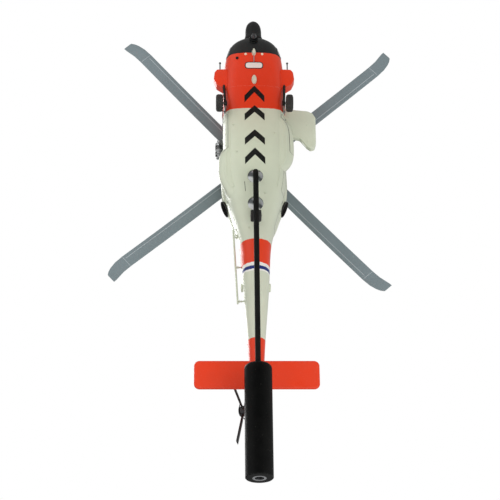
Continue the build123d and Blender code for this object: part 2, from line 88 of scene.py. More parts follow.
def srgb(r, g, b):
    """Display values 0-255 as linear light."""
    out = []
    for v in (r, g, b):
        c = v / 255
        out.append(c / 12.92 if c <= 0.04045 else ((c + 0.055) / 1.055) ** 2.4)
    return (*out, 1.0)


IVORY = srgb(206, 212, 192)
RED = srgb(224, 58, 20)
BLACK = srgb(15, 18, 18)
BLUE = srgb(24, 42, 112)
WHITE = srgb(232, 232, 226)
BLADE_GREY = srgb(112, 125, 129)


class Nodes:
    """Small helper that adds and wires shader nodes."""

    def __init__(self, name):
        self.material = bpy.data.materials.new(name)
        self.material.use_nodes = True
        self.tree = self.material.node_tree
        self.shader = self.tree.nodes["Principled BSDF"]
        self.coord = self.add("ShaderNodeTexCoord").outputs["Object"]

    def add(self, kind, **settings):
        node = self.tree.nodes.new(kind)
        for key, value in settings.items():
            setattr(node, key, value)
        return node

    def wire(self, out, into):
        self.tree.links.new(out, into)

    def noise(self, scale, detail=2.0, rough=0.5):
        node = self.add("ShaderNodeTexNoise")
        node.inputs["Scale"].default_value = scale
        node.inputs["Detail"].default_value = detail
        node.inputs["Roughness"].default_value = rough
        self.wire(self.coord, node.inputs["Vector"])
        return node.outputs["Fac"]

    def remap(self, value, a, b, c, d):
        node = self.add("ShaderNodeMapRange")
        for key, number in zip(("From Min", "From Max", "To Min", "To Max"), (a, b, c, d)):
            node.inputs[key].default_value = number
        self.wire(value, node.inputs["Value"])
        return node.outputs["Result"]

    def math(self, operation, a, b):
        node = self.add("ShaderNodeMath", operation=operation)
        for socket, value in zip(node.inputs, (a, b)):
            if isinstance(value, (int, float)):
                socket.default_value = value
            else:
                self.wire(value, socket)
        return node.outputs[0]

    def mix(self, factor, a, b, blend="MIX"):
        node = self.add("ShaderNodeMix", data_type="RGBA", blend_type=blend)
        for socket, value in zip((node.inputs[0], node.inputs[6], node.inputs[7]), (factor, a, b)):
            if isinstance(value, (int, float, tuple)):
                socket.default_value = value
            else:
                self.wire(value, socket)
        return node.outputs[2]

    def edges(self, radius):
        """1 on convex and concave edges, 0 on flats."""
        bevel = self.add("ShaderNodeBevel", samples=4)
        bevel.inputs["Radius"].default_value = radius * MM
        geometry = self.add("ShaderNodeNewGeometry")
        dot = self.add("ShaderNodeVectorMath", operation="DOT_PRODUCT")
        self.wire(bevel.outputs[0], dot.inputs[0])
        self.wire(geometry.outputs["Normal"], dot.inputs[1])
        return self.remap(dot.outputs["Value"], 0.985, 0.90, 0.0, 1.0)


DUST = (0.10, 0.095, 0.085, 1)       # darkens paint in broad patches
FLECK = (0.55, 0.52, 0.45, 1)        # small pale spots
GLOSS_SWING = 0.07                   # how far roughness wanders in broad patches
GLOSS_GRAIN = 0.03                   # and at the scale of the grain
WORN_EDGE = 0.35                     # radius of the edges that wear through, mm


def finish(name, colour, rough=0.4, metal=0.0, coat=0.0, mottle=0.06, grain=1800, bump=0.02,
           wear=None, wear_amount=0.5, shine=0.5):
    """A surface with uneven colour, uneven gloss, a fine skin and worn edges."""
    n = Nodes(name)
    base = colour(n) if callable(colour) else colour
    broad = n.noise(45, 4.0, 0.6)
    fine = n.noise(grain, 3.0, 0.55)
    dark = n.mix(n.remap(broad, 0.3, 0.7, 0.0, mottle * 2), base, DUST)
    spots = n.remap(n.noise(900, 1.0, 0.4), 0.70, 0.76, 0.0, mottle * 1.4)
    tint = n.mix(spots, dark, FLECK)
    if wear:
        scuff = n.remap(n.noise(700, 3.0, 0.7), 0.45, 0.62, 0.0, wear_amount)
        tint = n.mix(n.math("MULTIPLY", n.edges(WORN_EDGE), scuff), tint, wear)
    n.wire(tint, n.shader.inputs["Base Color"])
    patches = n.remap(broad, 0.3, 0.7, rough - GLOSS_SWING, rough + GLOSS_SWING)
    specks = n.remap(fine, 0.3, 0.7, -GLOSS_GRAIN, GLOSS_GRAIN)
    n.wire(n.math("ADD", patches, specks), n.shader.inputs["Roughness"])
    n.shader.inputs["Metallic"].default_value = metal
    n.shader.inputs["Specular IOR Level"].default_value = shine
    n.shader.inputs["Coat Weight"].default_value = coat
    n.shader.inputs["Coat Roughness"].default_value = 0.12
    skin = n.add("ShaderNodeBump")
    skin.inputs["Strength"].default_value = 0.6
    skin.inputs["Distance"].default_value = bump * MM
    orange_peel = n.math("MULTIPLY", n.noise(160, 2.0), 0.9)
    n.wire(n.math("ADD", n.math("MULTIPLY", fine, 0.6), orange_peel), skin.inputs["Height"])
    n.wire(skin.outputs[0], n.shader.inputs["Normal"])
    return n.material


# Where the paint changes along the body: datum station of each band's front end, nose first.
LIVERY = [
    (150.0, BLACK),
    (95.0, RED),
    (32.0, IVORY),
    (-104.0, RED),
    (-126.0, WHITE),
    (-130.0, BLUE),
    (-132.6, WHITE),
    (-134.2, IVORY),
    (-196.2, RED),
]
PAINT_FROM = -260.0
PAINT_TO = 150.0
UNSTEADY = 0.22 * MM       # how far a painted edge wanders


def livery(n):
    """Bands of colour along X, with a slightly unsteady brushed edge."""
    axes = n.add("ShaderNodeSeparateXYZ")
    n.wire(n.coord, axes.inputs[0])
    wobble = n.remap(n.noise(260, 2.0), 0.3, 0.7, -UNSTEADY, UNSTEADY)
    along = n.math("ADD", axes.outputs["X"], wobble)
    share = n.remap(along, (PAINT_FROM + X0) * MM, (PAINT_TO + X0) * MM, 0.0, 1.0)
    ramp = n.add("ShaderNodeValToRGB")
    ramp.color_ramp.interpolation = "CONSTANT"
    stops = ramp.color_ramp.elements
    bands = LIVERY[::-1]
    starts = [PAINT_FROM] + [station for station, _ in bands[:-1]]
    while len(stops) < len(bands):
        stops.new(0.5)
    for stop, start, (_, colour) in zip(stops, starts, bands):
        stop.position = (start - PAINT_FROM) / (PAINT_TO - PAINT_FROM)
        stop.color = colour
    n.wire(share, ramp.inputs[0])
    return ramp.outputs[0]


BODY = finish("livery_paint", livery, rough=0.36, coat=0.08, shine=0.25, mottle=0.035,
              wear=srgb(236, 232, 220), wear_amount=0.35)
IVORY_PAINT = finish("ivory_paint", IVORY, rough=0.38, coat=0.08, shine=0.3, mottle=0.04,
                     wear=srgb(150, 146, 132), wear_amount=0.4)
RED_PAINT = finish("red_paint", RED, rough=0.34, coat=0.08, shine=0.25, mottle=0.035,
                   wear=srgb(245, 150, 120), wear_amount=0.4)
BLACK_PAINT = finish("black_paint", BLACK, rough=0.46, coat=0.02, shine=0.16, mottle=0.04,
                     wear=srgb(110, 110, 110), wear_amount=0.5)
GLASS_PAINT = finish("window_black", srgb(14, 16, 20), rough=0.12, coat=1.0, mottle=0.02, bump=0.004)
LINE_PAINT = finish("panel_line", srgb(70, 68, 62), rough=0.6, mottle=0.08)
FRAME_PAINT = finish("window_frame", srgb(40, 40, 42), rough=0.45, mottle=0.05, wear=srgb(150, 150, 150))
STAND = finish("stand_black", srgb(14, 15, 15), rough=0.5, shine=0.06, mottle=0.03, grain=2600, bump=0.012,
               wear=srgb(90, 90, 92), wear_amount=0.6)


def painted_room_reflection(n):
    """Painted reflection for polished metal: a dark room on one side and bright windows on the other, painted
    into the colour by the reflection direction.
    """
    seen = n.add("ShaderNodeSeparateXYZ")
    n.wire(n.add("ShaderNodeTexCoord").outputs["Reflection"], seen.inputs[0])
    slant = n.math("ADD", seen.outputs["X"], n.math("MULTIPLY", seen.outputs["Y"], 0.6))
    # Painted reflection: a painted dark side and a painted bright band of windows, chosen by where the
    # surface reflects.
    painted_dark_reflection = n.remap(slant, -0.25, 0.1, 0.0, 1.0)
    band = n.remap(slant, 0.55, 0.8, 0.0, 0.8)
    tone = n.mix(painted_dark_reflection, srgb(222, 225, 228), srgb(96, 100, 104))
    return n.mix(band, tone, srgb(200, 204, 208))


# Polished domes whose base colour carries the painted room reflection.
CHROME_PAINTED_REFLECTION = finish("chrome_painted_reflection", painted_room_reflection, rough=0.10, metal=1.0, mottle=0.02, bump=0.004)
STEEL = finish("steel", srgb(168, 170, 172), rough=0.32, metal=1.0, mottle=0.08, bump=0.01)
DARK_STEEL = finish("dark_steel", srgb(62, 64, 67), rough=0.4, metal=0.8, mottle=0.08,
                    wear=srgb(170, 170, 172))
HOIST_GREY = finish("hoist_grey", srgb(178, 181, 182), rough=0.34, metal=0.45, mottle=0.12,
                    wear=srgb(215, 215, 212))
RUBBER = finish("rubber", srgb(27, 27, 28), rough=0.75, mottle=0.1, grain=2400, bump=0.04,
                wear=srgb(70, 68, 64))
DUCT = finish("duct_black", srgb(16, 16, 17), rough=0.55, mottle=0.08, wear=srgb(100, 92, 82))
LAMP = finish("lamp_cream", srgb(240, 232, 205), rough=0.2, coat=0.6, mottle=0.03)
RED_LENS = finish("lens_red", srgb(150, 14, 12), rough=0.12, coat=1.0, mottle=0.03)
BADGE_WHITE = finish("badge_white", WHITE, rough=0.4, mottle=0.05)
RIDGE_STRIP = finish("ridge_strip", srgb(168, 178, 182), rough=0.35, metal=0.4, mottle=0.08)
FIN_LINE = finish("fin_line", srgb(120, 34, 20), rough=0.6, mottle=0.08)

DARK_ROOT = (33.0, 46.0)       # the blade's paint fades from dark to grey between these radii


def blade_colour(n):
    """Grey with a dark root."""
    axes = n.add("ShaderNodeSeparateXYZ")
    n.wire(n.coord, axes.inputs[0])
    across_x = n.math("SUBTRACT", axes.outputs["X"], (MAST.x + X0) * MM)
    squares = n.math("ADD", n.math("POWER", across_x, 2.0), n.math("POWER", axes.outputs["Y"], 2.0))
    reach = n.math("SQRT", squares, 0.0)
    root = n.remap(reach, DARK_ROOT[0] * MM, DARK_ROOT[1] * MM, 1.0, 0.0)
    tone = n.mix(n.remap(n.noise(30, 3.0), 0.3, 0.7, 0.0, 0.25), BLADE_GREY, srgb(134, 145, 150))
    return n.mix(root, tone, srgb(58, 62, 64))


BLADE = finish("blade_grey", blade_colour, rough=0.4, coat=0.05, shine=0.35, mottle=0.03, bump=0.01,
               wear=srgb(160, 168, 170), wear_amount=0.3)

NODE_MATERIALS = {
    BODY: ["nose_block", "cabin_block", "tail_boom", "engine_deck", "left_nacelle", "right_nacelle",
           "gear_fairings"],
    RED_PAINT: ["tail_pylon", "stabilator", "tail_gearbox"],
    IVORY_PAINT: ["port_pylon", "front_belly_antenna", "rear_belly_antenna",
                  "antenna_rail", "rail_standoffs", "left_wheel_hub", "right_wheel_hub", "tail_wheel_hubs",
                  "tail_wheel_yoke"],
    BLACK_PAINT: ["nose_radome", "turret_mount", "probes", "blade_cuffs", "drag_beams",
                  "tail_rotor_blades"],
    GLASS_PAINT: ["turret_ball"],
    STAND: ["stand_rod", "stand_post"],
    CHROME_PAINTED_REFLECTION: ["front_ferrule", "rear_ferrule"],
    STEEL: ["post_insert", "post_set_screw", "mast_pin", "wheel_axles", "tail_wheel_axle", "hoist_hook",
            "oleo_struts", "belly_wire"],
    DARK_STEEL: ["rotor_hub", "mast_sleeve", "rotor_cap_nut", "tail_rotor_hub", "tail_rotor_pin"],
    HOIST_GREY: ["hoist_body"],
    RUBBER: ["left_tyre", "right_tyre", "tail_tyres"],
    DUCT: ["intake_lips", "exhaust_ducts"],
    LAMP: ["marker_lights"],
    BLADE: ["main_blade_1", "main_blade_2", "main_blade_3", "main_blade_4"],
}
for material, names in NODE_MATERIALS.items():
    for name in names:
        mesh = frame["nodes"][name].data
        mesh.materials.clear()
        mesh.materials.append(material)


# ------------------------------------------------------------------ skin projection

def skin_tree(names):
    points, faces = [], []
    for name in names:
        mesh = frame["nodes"][name].data
        start = len(points)
        points += [v.co.copy() for v in mesh.vertices]
        faces += [[start + i for i in polygon.vertices] for polygon in mesh.polygons]
    return BVHTree.FromPolygons(points, faces)


SKIN = skin_tree(["nose_block", "cabin_block", "tail_boom", "engine_deck", "left_nacelle", "right_nacelle",
                  "tail_pylon", "nose_radome", "stabilator"])
SIDE_REACH = 70.0          # where the rays start, all clear of the body
BELOW = -20.0
ABOVE = 130.0
AHEAD = 170.0
NEAR_MISS = 0.045          # how far in to look for the skin, in metres, when a ray passes it


def cast(origin, direction):
    """The outermost point of the body along a ray, and the outward normal there, in the datum."""
    hit, normal, _, _ = SKIN.ray_cast(to_frame(origin), direction)
    if hit is None:
        hit, normal, _, _ = SKIN.find_nearest(to_frame(origin) + direction * NEAR_MISS)
    if normal.dot(direction) > 0:
        normal = -normal
    return hit / MM - Vector((X0, 0, Z0)), normal


def on_side(side):
    """Outline coordinates are station and height; the ray comes in from one side."""
    return lambda u, v: cast((u, side * SIDE_REACH, v), Vector((0, -side, 0)))


def on_belly(u, v):
    return cast((u, v, BELOW), Vector((0, 0, 1)))


def on_roof(u, v):
    return cast((u, v, ABOVE), Vector((0, 0, -1)))


def on_front(u, v):
    """Outline coordinates are side and height; the ray comes from ahead."""
    return cast((AHEAD, u, v), Vector((-1, 0, 0)))


# ------------------------------------------------------------------ mesh building

def rounded(points, radius, steps=4):
    """A polygon with its corners rounded, as a closed list of points."""
    out = []
    count = len(points)
    for i, corner in enumerate(points):
        p = Vector(corner)
        before = (Vector(points[i - 1]) - p)
        after = (Vector(points[(i + 1) % count]) - p)
        r = min(radius, before.length * 0.45, after.length * 0.45)
        a = p + before.normalized() * r
        b = p + after.normalized() * r
        for k in range(steps + 1):
            t = k / steps
            out.append((a * (1 - t) ** 2 + p * 2 * t * (1 - t) + b * t ** 2))
    return out


def resample(points, step, closed=True):
    """Points at an even spacing along a path."""
    pts = [Vector(p) for p in points]
    if closed:
        pts.append(pts[0])
    lengths = [0.0]
    for a, b in zip(pts, pts[1:]):
        lengths.append(lengths[-1] + (b - a).length)
    count = max(4, round(lengths[-1] / step))
    out = []
    k = 0
    for i in range(count if closed else count + 1):
        target = lengths[-1] * i / count
        while k < len(pts) - 2 and lengths[k + 1] < target:
            k += 1
        span = lengths[k + 1] - lengths[k]
        out.append(pts[k].lerp(pts[k + 1], (target - lengths[k]) / span if span else 0))
    return out


def flanks(points, closed):
    """Unit vectors across a path, one at each point."""
    out = []
    last = len(points) - 1
    for i in range(len(points)):
        before = points[i - 1] if closed or i else points[0]
        after = points[(i + 1) % len(points)] if closed or i < last else points[last]
        along = (after - before).normalized()
        out.append(Vector((along.y, -along.x)))
    return out


def axis_frame(axis):
    """A unit axis and two unit vectors square to it."""
    axis = Vector(axis).normalized()
    side = axis.orthogonal().normalized()
    return axis, side, axis.cross(side)


def circle(centre, side, up, radius, count):
    angles = [2 * math.pi * k / count for k in range(count)]
    return [centre + (side * math.cos(a) + up * math.sin(a)) * radius for a in angles]


def spokes(count, phase=0.0):
    """Unit vectors evenly spaced round the X axis."""
    angles = [2 * math.pi * (k + phase) / count for k in range(count)]
    return [Vector((0, math.cos(a), math.sin(a))) for a in angles]


def wheel_spokes(count):
    """Unit vectors evenly spaced round the Y axis."""
    angles = [2 * math.pi * k / count for k in range(count)]
    return [Vector((math.cos(a), 0, math.sin(a))) for a in angles]


class Shape:
    """Collects vertices and faces, in datum millimetres, for one piece."""

    def __init__(self):
        self.points = []
        self.faces = []

    def row(self, points):
        start = len(self.points)
        self.points += [Vector(p) for p in points]
        return list(range(start, start + len(points)))

    def bridge(self, a, b, closed=True):
        count = len(a)
        for i in range(count if closed else count - 1):
            j = (i + 1) % count
            self.faces.append((a[i], a[j], b[j], b[i]))

    def fan(self, ring, centre, flip=False):
        middle_point = self.row([centre])[0]
        for i in range(len(ring)):
            face = (ring[i], ring[(i + 1) % len(ring)], middle_point)
            self.faces.append(face[::-1] if flip else face)

    def pad(self, outline, ray, lift, sink=0.3, rounding=0.25):
        """A thin closed plate that lies on the skin inside an outline."""
        outline = resample(outline, 1.3)
        centre = sum(outline, Vector((0, 0))) / len(outline)
        reach = max((p - centre).length for p in outline)
        shares = [1.0, 1.0 - rounding / reach]
        steps = max(1, round(reach / 3.0))
        shares += [shares[1] * (1 - k / steps) for k in range(1, steps)]
        tops, bottoms = [], []
        for k, share in enumerate(shares):
            hits = [ray(*(centre + (p - centre) * share)) for p in outline]
            rise = lift * 0.4 if k == 0 else lift
            tops.append(self.row([p + n * rise for p, n in hits]))
            bottoms.append(self.row([p - n * sink for p, n in hits]))
        for a, b in zip(tops, tops[1:]):
            self.bridge(a, b)
        for a, b in zip(bottoms, bottoms[1:]):
            self.bridge(b, a)
        self.bridge(bottoms[0], tops[0])
        p, n = ray(*centre)
        self.fan(tops[-1], p + n * lift)
        self.fan(bottoms[-1], p - n * sink, flip=True)
        return self

    def strip(self, path, ray, width, lift, closed=True, step=1.5, sink=0.25):
        """A low ridge of even width that follows a path on the skin."""
        path = resample(path, step, closed)
        sides = flanks(path, closed)
        rows = []
        section = [(-0.5, -sink), (-0.5, lift * 0.5), (-0.3, lift)]
        section += [(-share, rise) for share, rise in reversed(section)]
        for share, rise in section:
            hits = [ray(*(p + s * width * share)) for p, s in zip(path, sides)]
            rows.append(self.row([p + n * rise for p, n in hits]))
        for a, b in zip(rows, rows[1:] + rows[:1]):
            self.bridge(b, a, closed)
        if not closed:
            self.faces.append([r[0] for r in rows][::-1])
            self.faces.append([r[-1] for r in rows])
        return self

    def tube(self, path, radius, sides=10):
        """A round wire or pipe along a 3-D path, closed at both ends."""
        pts = [Vector(p) for p in path]
        radii = radius if isinstance(radius, (list, tuple)) else [radius] * len(pts)
        side = None
        rings = []
        for i, p in enumerate(pts):
            along = (pts[min(i + 1, len(pts) - 1)] - pts[max(i - 1, 0)]).normalized()
            if side is None:
                side = along.orthogonal().normalized()
            side = (side - along * side.dot(along)).normalized()
            rings.append(self.row(circle(p, side, along.cross(side), radii[i], sides)))
        for a, b in zip(rings, rings[1:]):
            self.bridge(a, b)
        self.fan(rings[0], pts[0], flip=True)
        self.fan(rings[-1], pts[-1])
        return self

    def turn(self, profile, origin, axis, sides=28):
        """A turned piece: profile is (radius, height) from one end of the axis to the other."""
        axis, side, up = axis_frame(axis)
        origin = Vector(origin)
        rings = []
        for radius, height in profile:
            rings.append(self.row(circle(origin + axis * height, side, up, radius, sides)))
        for a, b in zip(rings, rings[1:]):
            self.bridge(a, b)
        self.fan(rings[0], origin + axis * profile[0][1], flip=True)
        self.fan(rings[-1], origin + axis * profile[-1][1])
        return self

    def bolt(self, origin, axis, radius, height):
        """A six-sided head on a round washer."""
        washer = [(radius * 1.35, -0.15), (radius * 1.35, height * 0.25), (radius * 1.2, height * 0.35)]
        hexagon = [(radius, 0.0), (radius, height * 0.85), (radius * 0.8, height)]
        self.turn(washer, origin, axis, 16)
        return self.turn(hexagon, origin, axis, 6)

    def ring(self, radius, wire, origin, axis, sides=32, around=8):
        """A closed ring of round wire."""
        axis, side, up = axis_frame(axis)
        origin = Vector(origin)
        rows = []
        for k in range(around):
            b = 2 * math.pi * k / around
            centre = origin + axis * (wire * math.sin(b))
            rows.append(self.row(circle(centre, side, up, radius + wire * math.cos(b), sides)))
        for a, b in zip(rows, rows[1:] + rows[:1]):
            self.bridge(a, b)
        return self

    def plate(self, outline, low, high, place=None, bevel=0.2):
        """A flat plate with softened rims, drawn in its own X and Y and moved by place."""
        place = place or Matrix.Identity(4)
        centre = sum(outline, Vector((0, 0))) / len(outline)
        reach = max((p - centre).length for p in outline)
        inner = [centre + (p - centre) * (1 - bevel / reach) for p in outline]
        rows = []
        for loop, z in ((inner, low), (outline, low + bevel), (outline, high - bevel), (inner, high)):
            rows.append(self.row([place @ Vector((p.x, p.y, z)) for p in loop]))
        for a, b in zip(rows, rows[1:]):
            self.bridge(a, b)
        self.fan(rows[0], place @ Vector((centre.x, centre.y, low)), flip=True)
        self.fan(rows[-1], place @ Vector((centre.x, centre.y, high)))
        return self

    def make(self, name, material, body="airframe", slot=None, smooth=35):
        mesh = bpy.data.meshes.new(name)
        mesh.from_pydata([to_frame(p) for p in self.points], [], self.faces)
        mesh.validate()
        mesh.materials.append(material)
        piece = bpy.data.objects.new(name, mesh)
        bpy.context.scene.collection.objects.link(piece)
        mesh.shade_smooth()
        mesh.set_sharp_from_angle(angle=math.radians(smooth))
        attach(piece, body)
        return piece


def box_outline(x0, x1, y0, y1, radius=0.6):
    return rounded([(x0, y0), (x1, y0), (x1, y1), (x0, y1)], radius)


def turned(outline):
    """The same outline run the other way round, for rays whose axes are mirrored."""
    return outline[::-1]


def facing(outline, side):
    """An outline in station and height, run the right way round for one side of the body."""
    return turned(outline) if side > 0 else outline


# How wide and how proud the marks on the skin are.
PANE_LIFT = 0.22
FRAME_WIDTH = 0.9
FRAME_LIFT = 0.42
LINE_WIDTH = 0.32
LINE_LIFT = 0.05
FINE_LINE = 0.3
SLAT_LIFT = 0.12
PAINT_LIFT = 0.07


# ------------------------------------------------------------------ glazing and doors

SILL = 28.5
LINTEL = 45.0
BAYS = ((38.0, 53.0), (11.0, 27.0), (-9.0, 7.0))
CABIN_WINDOWS = [box_outline(back, front, SILL, LINTEL, 2.5) for back, front in BAYS]
DOOR_WINDOW = rounded([(67.0, 31.0), (86.0, 31.0), (87.5, 37.5), (79.5, 47.0), (67.0, 48.0)], 2.2)
CHIN_WINDOW = rounded([(96.0, 16.5), (106.5, 18.5), (107.0, 25.5), (98.0, 27.5)], 2.0)
WINDSCREEN = [
    box_outline(-3.4, 3.4, 40.2, 51.4, 1.0),
    rounded([(4.8, 40.4), (19.5, 41.6), (18.5, 50.6), (4.8, 51.4)], 2.2),
    rounded([(-4.8, 51.4), (-18.5, 50.6), (-19.5, 41.6), (-4.8, 40.4)], 2.2),
]
ROOF_WINDOWS = [
    rounded([(64.0, 16.0), (74.0, 16.0), (74.0, 22.0), (64.0, 23.5)], 1.5),
    rounded([(64.0, -23.5), (74.0, -22.0), (74.0, -16.0), (64.0, -16.0)], 1.5),
]

glass = Shape()
frames = Shape()
for side in (1, -1):
    for outline in CABIN_WINDOWS + [DOOR_WINDOW, CHIN_WINDOW]:
        glass.pad(facing(outline, side), on_side(side), PANE_LIFT)
        frames.strip(facing(outline, side), on_side(side), FRAME_WIDTH, FRAME_LIFT)
for outline in WINDSCREEN:
    glass.pad(outline, on_front, PANE_LIFT)
    frames.strip(outline, on_front, 0.8, FRAME_LIFT)
for outline in ROOF_WINDOWS:
    glass.pad(outline, on_roof, PANE_LIFT)
    frames.strip(outline, on_roof, 0.7, 0.4)
glass.make("window_panes", GLASS_PAINT, slot="turret_black")
frames.make("window_frames", FRAME_PAINT, slot="black_paint")

# Doors and panels, engraved as fine dark lines.
DOOR_OUTLINES = [
    rounded([(-13.0, 15.5), (30.0, 15.5), (30.0, 46.6), (-13.0, 46.6)], 2.5),
    rounded([(35.0, 16.0), (56.0, 16.0), (56.0, 50.5), (35.0, 50.5)], 2.5),
    rounded([(63.5, 30.0), (63.5, 51.0), (79.5, 50.0), (90.0, 38.0), (89.0, 30.0)], 2.0),
]
PANELS = [
    box_outline(-52.0, -30.0, 19.0, 33.0, 1.2),
    box_outline(-86.0, -66.0, 28.0, 42.0, 1.2),
    box_outline(-124.0, -112.0, 30.0, 38.0, 1.0),
    box_outline(92.0, 106.0, 29.5, 34.0, 1.0),
]
ROOF_PANELS = [
    box_outline(20.0, 44.0, -11.0, 11.0, 2.0),
    box_outline(-46.0, -16.0, -9.0, 9.0, 2.0),
    box_outline(-76.0, -52.0, -6.5, 6.5, 1.5),
]
lines = Shape()
for side in (1, -1):
    for outline in DOOR_OUTLINES + PANELS:
        lines.strip(facing(outline, side), on_side(side), LINE_WIDTH, LINE_LIFT)
for outline in ROOF_PANELS:
    lines.strip(outline, on_roof, LINE_WIDTH, LINE_LIFT)
lines.make("panel_lines", LINE_PAINT, slot="black_paint", smooth=60)

# Door rails and handles.
rails = Shape()
handles = Shape()
for side in (1, -1):
    for height in (14.2, 47.2):
        rails.strip([(-50.0, height), (31.0, height)], on_side(side), 0.8, 0.5, closed=False)
    for x, z in ((27.5, 24.5), (53.5, 24.5), (66.0, 28.6)):
        p, n = on_side(side)(x, z)
        a = p + n * 0.75
        handles.tube([a + Vector((-2.2, 0, 0)) - n * 0.9, a + Vector((-1.8, 0, 0)), a + Vector((1.8, 0, 0)),
                      a + Vector((2.2, 0, 0)) - n * 0.9], 0.22)
rails.make("door_rails", IVORY_PAINT, slot="white_paint")
handles.make("door_handles", DARK_STEEL, slot="steel")

# Windscreen wipers.
wipers = Shape()
for side in (1, -1):
    p0, n0 = on_front(side * 6.0, 38.6)
    arm = []
    for share in (0.0, 0.3, 0.6, 1.0):
        p, n = on_front(side * (6.0 + 7.0 * share), 38.6 + 7.0 * share)
        arm.append(p + n * (0.9 if share else 0.3))
    wipers.tube(arm, 0.22)
    blade_line = []
    for share in (-1.0, -0.5, 0.0, 0.5, 1.0):
        p, n = on_front(side * 13.0 - side * 1.2 * share, 45.6 + 3.2 * share)
        blade_line.append(p + n * 0.55)
    wipers.tube(blade_line, 0.26)
    wipers.turn([(0.9, -0.4), (0.9, 0.5), (0.6, 0.9)], p0, n0, 14)
wipers.make("windscreen_wipers", BLACK_PAINT, slot="black_paint")


# ------------------------------------------------------------------ belly marks and fittings

class Decal(Shape):
    """Flat marks that hug the skin, filled row by row between two edges."""

    def arrow(self, x0, x1, half, bar, ray, lift=PAINT_LIFT, sink=0.2, count=16):
        """A bent bar: its middle lies further forward than its two ends."""
        rows = []
        for k in range(count + 1):
            v = -half + 2 * half * k / count
            front = x1 - abs(v) / half * (x1 - x0 - bar)
            pts = [(front - bar * t, v) for t in (0.0, 0.33, 0.66, 1.0)]
            hits = [ray(*q) for q in pts]
            under = [p - n * sink for p, n in reversed(hits)]
            rows.append(self.row([p + n * lift for p, n in hits] + under))
        for a, b in zip(rows, rows[1:]):
            self.bridge(a, b)
        self.faces.append(rows[0][::-1])
        self.faces.append(rows[-1])
        return self


ARROW_HALF_WIDTH = 9.4
ARROW_BAR = 7.4
marks = Decal()
for x0, x1 in ((39.5, 58.0), (19.5, 36.0), (-7.0, 9.5), (-28.0, -10.3)):
    marks.arrow(x0, x1, ARROW_HALF_WIDTH, ARROW_BAR, on_belly)
marks.make("belly_arrows", BLACK_PAINT, slot="black_paint", smooth=60)

badge_rim = Shape().strip(turned(box_outline(77.6, 84.6, -8.4, 8.4, 3.0)), on_belly, 0.9, 0.14)
badge_rim.make("belly_badge_rim", BLACK_PAINT, slot="black_paint")
badge = Shape().pad(turned(box_outline(77.8, 84.4, -8.2, 8.2, 2.8)), on_belly, PAINT_LIFT)
badge.make("belly_badge", BADGE_WHITE, slot="white_paint")

groove = Shape().strip([(-46.0, -10.0), (-56.0, -9.2)], on_belly, 0.5, 0.08, closed=False)
groove.make("belly_groove_mark", LINE_PAINT, slot="black_paint")

# Drains: station, side, radius and height of each.
DRAINS = [
    (6.0, 19.0, 0.7, 1.0),
    (-14.0, -17.0, 0.6, 0.9),
    (-58.0, 9.0, 0.7, 1.1),
    (-92.0, -6.0, 0.5, 1.2),
    (16.0, -20.0, 0.6, 0.8),
]
fittings = Shape()
for x, y, r, h in DRAINS:
    p, n = on_belly(x, y)
    fittings.turn([(r * 1.3, -0.4), (r * 1.3, 0.2), (r, 0.4), (r, h), (r * 0.7, h + 0.2)], p, n, 18)
fittings.make("belly_drains", IVORY_PAINT, slot="white_paint")

p, n = on_belly(90.0, -16.0)
plug = Shape().turn([(1.5, -0.4), (1.5, 0.2), (1.15, 0.4), (1.15, 1.0), (0.8, 1.2)], p, n, 20)
plug.make("belly_plug", BLACK_PAINT, slot="black_paint")

# Three screws round each polished dome.
SCREW_CIRCLE = 6.3
screws = Shape()
for node in ("front_ferrule", "rear_ferrule"):
    dome = middle(node)
    for k in range(3):
        a = math.radians(90 + 120 * k)
        p, n = on_belly(dome.x + SCREW_CIRCLE * math.cos(a), SCREW_CIRCLE * math.sin(a))
        screws.turn([(0.75, -1.4), (0.75, 1.05), (0.5, 1.35)], p, (0, 0, -1), 14)
screws.make("ferrule_screws", STEEL, slot="steel")


# ------------------------------------------------------------------ nose

SCREW_HEAD = [(0.42, -0.3), (0.42, 0.22), (0.25, 0.34)]
nose = Shape()
low, high = datum_box("nose_radome")
axis_z = (low.z + high.z) / 2
screw_plane = Vector((high.x - 20.8, 0, axis_z))
nose.ring(8.85, 0.3, (high.x - 22.1, 0, axis_z), (1, 0, 0), 40)
for d in spokes(10, 0.5):
    nose.turn(SCREW_HEAD, screw_plane + d * 8.55, d, 12)
nose.make("radome_ring", BLACK_PAINT, slot="black_paint")

pitots = Shape()
for side in (1, -1):
    p, n = on_front(side * 9.5, 36.4)
    elbow = p + n * 1.9
    bend = [p - n * 0.5, p + n * 1.6, elbow + Vector((1.2, 0, 0)), elbow + Vector((5.0, 0, 0))]
    pitots.tube(bend, [0.7, 0.5, 0.45, 0.38])
pitots.make("pitot_tubes", STEEL, slot="steel")

LOOK = (0.5, 0, -0.87)       # the camera looks forward and down
lens_seat = middle("turret_ball") + Vector((1.55, 0, -2.75))
turret_rim = Shape().ring(1.45, 0.28, lens_seat, LOOK, 24)
turret_rim.make("turret_lens_rim", DARK_STEEL, slot="steel")
turret_lens = Shape().turn([(1.1, -1.0), (1.1, -0.4), (0.8, -0.15), (0.4, -0.02)], lens_seat, LOOK, 20)
turret_lens.make("turret_lens", GLASS_PAINT, slot="turret_black")


# ------------------------------------------------------------------ engines and deck

SLAT = 1.1
engine = Shape()
grilles = Shape()
for side in (1, -1):
    for x0, x1 in ((-8.0, 10.0), (-34.0, -12.0)):
        cowl = box_outline(x0, x1, 51.0, 60.5, 1.2)
        engine.strip(facing(cowl, side), on_side(side), FINE_LINE, LINE_LIFT)
    for k in range(6):
        x = -47.0 + 2.3 * k
        slat = box_outline(x, x + SLAT, 52.5, 58.5, 0.4)
        grilles.pad(facing(slat, side), on_side(side), SLAT_LIFT, rounding=0.15)
engine.make("cowling_lines", LINE_PAINT, slot="black_paint", smooth=60)
for k in range(5):
    x = -14.0 + 2.1 * k
    grilles.pad(box_outline(x, x + SLAT, -6.0, 6.0, 0.4), on_roof, SLAT_LIFT, rounding=0.15)
grilles.make("cooling_grilles", DUCT, slot="duct_black")

